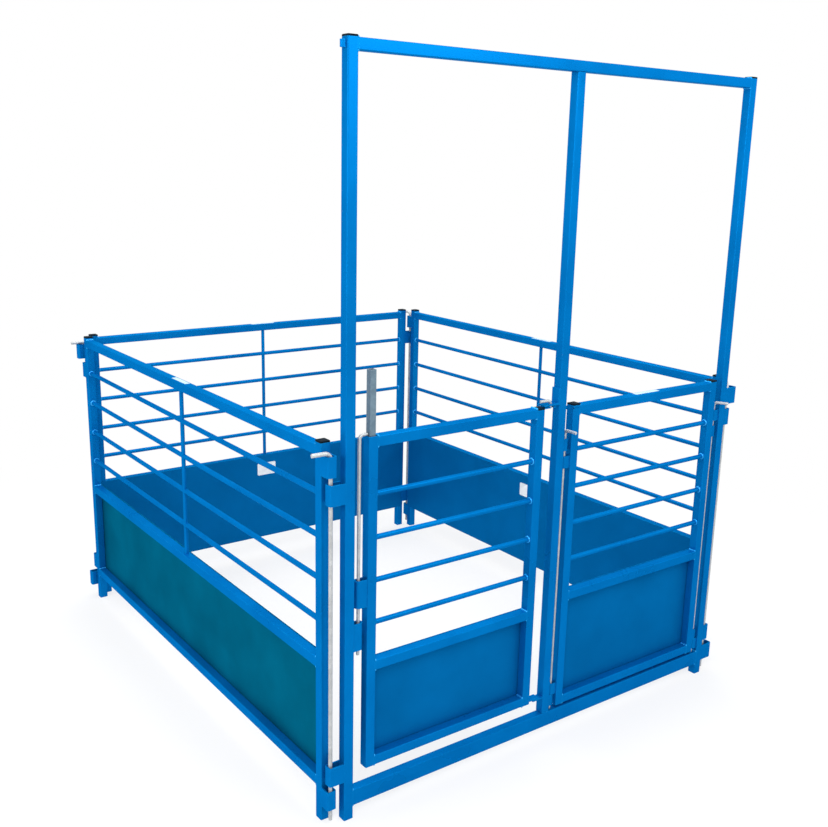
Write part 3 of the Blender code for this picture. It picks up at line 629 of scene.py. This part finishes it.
for side, run in (("left", 1), ("back", 0), ("right", 1)):
    low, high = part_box(f"{side}_panel_bar_grid")
    tube = high[1 - run] - low[1 - run]
    sheet_rail = low[2] + tube / 2
    top_low, top_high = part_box(f"{side}_panel_top_rail")
    top_rail = (top_low[2] + top_high[2]) / 2
    across = (low[1 - run] + high[1 - run]) / 2
    for number in range(1, BAR_COUNT + 1):
        height = sheet_rail + (top_rail - sheet_rail) * number / (BAR_COUNT + 1)
        weld_bar("pen", run, low[run], high[run], across, height)
    rail_top = (high[0], high[1], low[2] + tube)
    weld_rail("pen", low, rail_top, run)
    for rail in ("top_rail", "bottom_rail"):
        weld_rail("pen", *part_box(f"{side}_panel_{rail}"), run)
for name, body in (("gate", "gate"), ("leaf", "pen")):
    for rail in ("top_rail", "sheet_rail", "bottom_rail"):
        weld_rail(body, *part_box(f"{name}_{rail}"), 0)
    for number in range(1, BAR_COUNT + 1):
        low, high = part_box(f"{name}_bar_{number}")
        middle = centre_of(low, high)
        weld_bar(body, 0, low[0], high[0], middle[1], middle[2])
for rail in ("front_top_rail", "front_sill"):
    weld_rail("pen", *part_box(rail), 0)

for kind, look, copies, smooth in (
    ("weld_beads", weld_paint_with_highlight, beads, BEAD_SMOOTH),
    ("ground_welds", tube_paint, ground, GROUND_SMOOTH),
):
    for body, laid in copies.items():
        bpy.ops.object.select_all(action="DESELECT")
        for bead in laid:
            bead.select_set(True)
        bpy.context.view_layer.objects.active = laid[0]
        bpy.ops.object.join()
        bpy.ops.object.transform_apply(location=True, rotation=True, scale=True)
        welds = bpy.context.object
        welds.name = f"{body}_{kind}"
        bpy.ops.object.shade_smooth_by_angle(angle=math.radians(smooth))
        welds.data.materials.append(look)
        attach(welds, body)
for master in (ring_bead, row_bead, ground_weld):
    bpy.data.objects.remove(master)


# Stickers: thin vinyl with rounded corners, a white one on the inside of the back sheet and of the right
# sheet, and a narrow pale strip along the top of the back, side and leaf rails.
VINYL = 0.0004
VINYL_LIFT = 0.0001
VINYL_CORNER = 0.12
VINYL_SMOOTH = 30.0
WHITE_CLEAN = (0.840, 0.850, 0.850, 1.0)
WHITE_AGED = (0.700, 0.740, 0.760, 1.0)
PALE_CLEAN = (0.520, 0.690, 0.780, 1.0)
PALE_AGED = (0.360, 0.560, 0.700, 1.0)
LABEL_HEIGHT = 0.4285
BACK_LABEL = (0.092, 0.057)
RIGHT_LABEL = (0.100, 0.057)
RIGHT_LABEL_SHIFT = 0.020
RAIL_STRIP = (0.110, 0.018)
UPRIGHT = math.radians(90)


def vinyl_look(name, clean, aged):
    look, tree, shader = start_material(name, clean)
    skin = place_group(tree, uneven, {"Cloud": 35.0, "Peel": 500.0})
    tone = mix_colour(tree, ranged(tree, skin.outputs["Cloud"], 0.0, 1.0), clean, aged)
    tree.links.new(tone, shader.inputs["Base Color"])
    tree.links.new(ranged(tree, skin.outputs["Peel"], 0.35, 0.5), shader.inputs["Roughness"])
    add_relief(tree, shader, [(skin.outputs["Cloud"], 0.2, 0.0006)])
    return look


white_vinyl = vinyl_look("white_vinyl", WHITE_CLEAN, WHITE_AGED)
pale_vinyl = vinyl_look("pale_vinyl", PALE_CLEAN, PALE_AGED)


def sticker(name, look, spot, size, facing):
    """A thin sticker of a given size; facing is the turn that brings it round from lying face up."""
    bpy.ops.object.select_all(action="DESELECT")
    bpy.ops.mesh.primitive_plane_add(size=1.0)
    label = bpy.context.object
    label.name = name
    label.scale = (size[0], size[1], 1.0)
    bpy.ops.object.transform_apply(location=False, rotation=False, scale=True)
    bpy.ops.object.mode_set(mode="EDIT")
    bpy.ops.mesh.select_all(action="SELECT")
    bpy.ops.mesh.bevel(affect="VERTICES", offset=VINYL_CORNER * min(size), segments=5)
    bpy.ops.mesh.select_all(action="SELECT")
    bpy.ops.mesh.extrude_region_move(TRANSFORM_OT_translate={"value": (0.0, 0.0, VINYL)})
    bpy.ops.mesh.select_all(action="SELECT")
    bpy.ops.mesh.normals_make_consistent(inside=False)
    bpy.ops.object.mode_set(mode="OBJECT")
    label.rotation_euler = facing
    label.location = spot
    bpy.ops.object.transform_apply(location=True, rotation=True, scale=False)
    bpy.ops.object.shade_smooth_by_angle(angle=math.radians(VINYL_SMOOTH))
    label.data.materials.append(look)
    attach(label, "pen")


back_low, back_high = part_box("back_panel_sheet")
right_low, right_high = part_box("right_panel_sheet")
back_middle = (back_low[0] + back_high[0]) / 2
right_middle = (right_low[1] + right_high[1]) / 2
back_spot = (back_middle, back_low[1] - VINYL_LIFT, LABEL_HEIGHT)
right_spot = (right_low[0] - VINYL_LIFT, right_middle + RIGHT_LABEL_SHIFT, LABEL_HEIGHT)
sticker("back_sheet_label", white_vinyl, back_spot, BACK_LABEL, (UPRIGHT, 0.0, 0.0))
sticker("right_sheet_label", white_vinyl, right_spot, RIGHT_LABEL, (UPRIGHT, 0.0, -UPRIGHT))
for node in ("back_panel_top_rail", "left_panel_top_rail", "right_panel_top_rail", "leaf_top_rail"):
    low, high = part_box(node)
    middle = centre_of(low, high)
    lengthwise = high[0] - low[0] > high[1] - low[1]
    strip_spot = (middle[0], middle[1], high[2] + VINYL_LIFT)
    sticker(f"{node}_strip", pale_vinyl, strip_spot, RAIL_STRIP, (0.0, 0.0, 0.0 if lengthwise else UPRIGHT))
